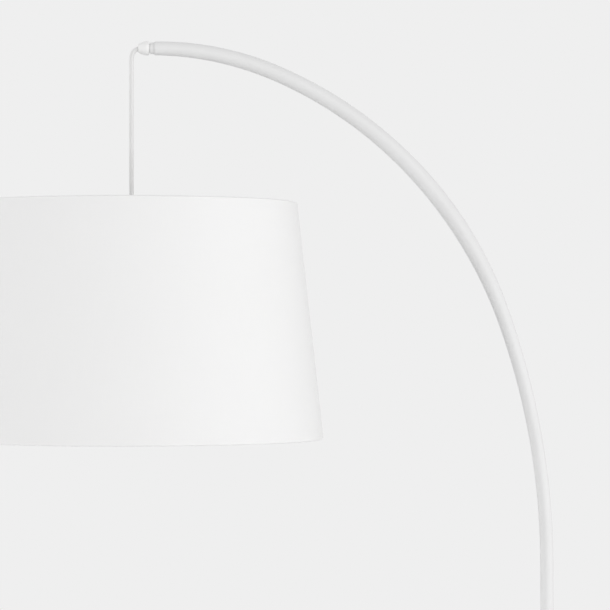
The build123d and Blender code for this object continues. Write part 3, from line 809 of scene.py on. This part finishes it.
def rolled_end(end_z, inward):
    """The cloth's middle line round a ring, from the hem's edge to the wall; inward is -1 at the top."""
    ring_z = end_z + inward * RING_END
    ring_r = shade_radius(ring_z) - RING_IN
    inside = -(RING_WIRE + 0.5 * CLOTH + 0.1 * MM)
    over = RING_END - 0.5 * CLOTH
    out = RING_IN - 0.5 * CLOTH
    hug = RING_WIRE + CLOTH

    def at(dr, dz):
        return np.array((ring_r + dr, ring_z + inward * dz))

    def on_lining(dz):
        z = ring_z + inward * dz
        return np.array((shade_radius(z) - WALL - 0.5 * CLOTH, z))

    line = [on_lining(HEM), on_lining(0.5 * HEM)]
    tail = on_lining(4.4 * MM)
    line.append(tail)
    line += bezier(tail, on_lining(3.0 * MM), at(0.9 * MM, hug), at(0.0, hug), 8)
    line += bezier(at(0.0, hug), at(0.56 * inside, hug), at(inside, 0.56 * hug), at(inside, 0.0), 8)
    line += bezier(at(inside, 0.0), at(inside, -0.56 * over), at(0.56 * inside, -over), at(0.0, -over), 8)
    line += bezier(at(0.0, -over), at(0.56 * out, -over), at(out, -0.56 * over), at(out, 0.0), 10)
    return line


def cloth_line():
    """The cloth's middle line: the top hem, over the top ring, down the wall and round the bottom ring."""
    top, bottom = rolled_end(shade_high.z, -1), rolled_end(shade_low.z, 1)
    wall = [
        np.array((shade_radius(z) - 0.5 * CLOTH, z))
        for z in steps(shade_high.z - RING_END, shade_low.z + RING_END, 48)[1:-1]
    ]
    return top + wall + bottom[::-1]


def thickened(line, thickness):
    """The closed outline of a strip that follows a line."""
    line = np.array(line)
    ahead = np.gradient(line, axis=0)
    ahead /= np.linalg.norm(ahead, axis=1)[:, None]
    across = np.column_stack((-ahead[:, 1], ahead[:, 0])) * thickness / 2
    return np.vstack((line + across, (line - across)[::-1]))


def column_turns():
    """The directions of the shade's columns, closer together at the seam."""
    ease = (SEAM_HALF + SEAM_EASE) / SHADE_BOTTOM_R
    edge = SEAM_HALF / SHADE_BOTTOM_R
    lip = 0.15 * MM / SHADE_BOTTOM_R
    close = steps(-ease, edge, 40) + [edge + lip, edge + 3 * lip]
    first, last = close[0], close[-1]
    even = steps(last, first + 2 * math.pi, COLUMNS)[1:-1]
    return [SEAM_TURN + t for t in close + even]


def seam_rise(turn):
    """How far the cloth stands out over its own end: it eases in on one side and drops on the other."""
    off = (turn - SEAM_TURN + math.pi) % (2 * math.pi) - math.pi
    along = off * SHADE_BOTTOM_R
    if along > SEAM_HALF + 0.05 * MM or along < -SEAM_HALF - SEAM_EASE:
        return 0.0
    share = min(1.0, (along + SEAM_HALF + SEAM_EASE) / SEAM_EASE)
    return SEAM_RISE * share * share * (3 - 2 * share)


def stands_out(radius, z):
    """1 on the outer wall, easing to 0 over the rims, and 0 on the hems inside."""
    depth = shade_radius(z) - radius
    if min(shade_high.z - z, z - shade_low.z) < RING_END:
        return max(0.0, min(1.0, 1 - (depth - CLOTH) / (RING_IN - CLOTH)))
    return float(depth < CLOTH + 0.5 * LINING_THICK)


def lay_out_flat(piece, turns, outline):
    """Writes the cloth's flat cut, a ring's sector, as the UV map that the weave follows."""
    lean = math.atan(SLOPE)
    apex_z = shade_high.z + SHADE_TOP_R / SLOPE
    spread = math.sin(lean)
    run = np.concatenate(([0.0], np.cumsum(np.linalg.norm(np.diff(outline, axis=0), axis=1))))
    start = (apex_z - shade_high.z) / math.cos(lean)
    count = len(outline)
    layer = piece.data.uv_layers.new(name="cut")
    for polygon in piece.data.polygons:
        where = [piece.data.loops[i].vertex_index for i in polygon.loop_indices]
        column = [v // count for v in where]
        wraps = max(column) - min(column) > 1
        rows = [v % count for v in where]
        closes = max(rows) - min(rows) > 1
        for i, c, row in zip(polygon.loop_indices, column, rows):
            turn = turns[c] - SEAM_TURN + (2 * math.pi if wraps and c == 0 else 0.0)
            along = run[-1] if closes and row == 0 else run[row]
            fan = (turn - math.pi) * spread
            far = start + along
            layer.data[i].uv = (far * math.sin(fan), far * math.cos(fan))


def make_shade():
    """The laminated shade: cloth rolled over both rings, and the styrene film inside it."""
    turns = column_turns()
    outline = thickened(cloth_line(), CLOTH)
    outwards = np.array([(stands_out(r, z), 0.0) for r, z in outline])
    cloth = turned("shade_cover", lambda turn: outline + seam_rise(turn) * outwards, turns)
    lay_out_flat(cloth, turns, outline)
    dress(cloth, "shade_cloth")
    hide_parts("shade_fabric", "shade_top_hem", "shade_bottom_hem", "shade_seam")
    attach(cloth, "pendant")

    film_top = shade_high.z - RING_END - RING_WIRE - RING_CLEAR
    film_bottom = shade_low.z + RING_END + RING_WIRE + RING_CLEAR
    levels = steps(film_bottom, film_top, 24)
    wall = [(shade_radius(z) - WALL, z) for z in levels]
    wall += [(shade_radius(z) - CLOTH, z) for z in reversed(levels)]
    film = turned("shade_lining", lambda turn: wall, whole_turn(COLUMNS))
    film.data.materials.append(LINING)
    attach(film, "pendant")
    return cloth, film


cover, lining = make_shade()


# ---------------------------------------------------------------- stage and light
BACKGROUND = 0.863
FILL = 0.56
SPREAD = 6.0  # how fast a softbox falls off away from its middle
SOFTBOXES = {  # direction from the camera's side (degrees), height (degrees) and strength
    "front_right": (32, 0, 1.9),
    "left": (-90, 0, 1.65),
    "right": (90, 0, 0.65),
    "high_back": (180, 45, 0.4),
}
FLOOR_R = 3.2
FLOOR_DROP = 0.2 * MM  # just under the sole, so that the two don't touch
FADE_FROM, FADE_TO = 0.35 * FLOOR_R, 0.97 * FLOOR_R


def make_world():
    """A uniform pale backdrop for the camera, and wide softboxes far away for everything else."""
    world = bpy.data.worlds.new("studio")
    world.use_nodes = True
    bpy.context.scene.world = world
    tree = world.node_tree
    tree.nodes.clear()

    def add(kind, **inputs):
        node = tree.nodes.new("ShaderNode" + kind)
        for key, value in inputs.items():
            node.inputs[key].default_value = value
        return node

    def maths(operation, first, second):
        node = add("Math")
        node.operation = operation
        tree.links.new(first, node.inputs[0])
        if isinstance(second, float):
            node.inputs[1].default_value = second
        else:
            tree.links.new(second, node.inputs[1])
        return node.outputs[0]

    direction = add("TexCoord").outputs["Generated"]
    total = None
    for side, height, strength in SOFTBOXES.values():
        side, height = math.radians(side), math.radians(height)
        towards = (math.sin(side) * math.cos(height), -math.cos(side) * math.cos(height), math.sin(height))
        facing = add("VectorMath")
        facing.operation = "DOT_PRODUCT"
        tree.links.new(direction, facing.inputs[0])
        facing.inputs[1].default_value = towards
        lobe = maths("POWER", maths("MAXIMUM", facing.outputs["Value"], 0.0), SPREAD)
        total = maths("ADD", maths("MULTIPLY", lobe, float(strength)), FILL if total is None else total)
    light = add("Background", Color=(1, 1, 1, 1))
    tree.links.new(total, light.inputs["Strength"])
    seen = add("Background", Color=(BACKGROUND, BACKGROUND, BACKGROUND, 1))
    mix = add("MixShader")
    tree.links.new(add("LightPath").outputs["Is Camera Ray"], mix.inputs[0])
    tree.links.new(light.outputs[0], mix.inputs[1])
    tree.links.new(seen.outputs[0], mix.inputs[2])
    tree.links.new(mix.outputs[0], add("OutputWorld").inputs["Surface"])


def make_floor():
    """A round pale floor that fades into the backdrop."""
    turns = whole_turn(128)
    rings = steps(0.0, FLOOR_R, 16)[1:]
    vertices = [(0.0, 0.0, 0.0)] + [(r * math.cos(t), r * math.sin(t), 0.0) for r in rings for t in turns]
    count = len(turns)
    faces = [(0, 1 + k, 1 + (k + 1) % count) for k in range(count)]
    for i in range(len(rings) - 1):
        a, b = 1 + i * count, 1 + (i + 1) * count
        faces += [(a + k, b + k, b + (k + 1) % count, a + (k + 1) % count) for k in range(count)]
    floor = mesh_object("floor", vertices, faces)
    floor.location = (-0.2, 0.0, -FLOOR_DROP)
    s = Surface("floor_paint", roughness=0.75)
    s.colour(s.blend(s.between(s.noise(3.0, 4.0), 0.0, 1.0), grey(0.90), grey(0.92)))
    away = s.add("VectorMath", {0: s.place}, operation="LENGTH").outputs["Value"]
    inputs = {"Value": away, "From Min": FADE_FROM, "From Max": FADE_TO}
    fade = s.add("MapRange", inputs, interpolation_type="SMOOTHSTEP").outputs["Result"]
    under = s.add("NewGeometry").outputs["Backfacing"]
    gone = s.maths("MAXIMUM", fade, under)
    clear = s.add("BsdfTransparent")
    mix = s.add("MixShader", {0: gone, 1: s.shader.outputs["BSDF"], 2: clear.outputs["BSDF"]})
    s.put(s.output.inputs["Surface"], mix.outputs["Shader"])
    floor.data.materials.append(s.material)


make_world()
make_floor()
bpy.context.scene.view_settings.view_transform = "Standard"
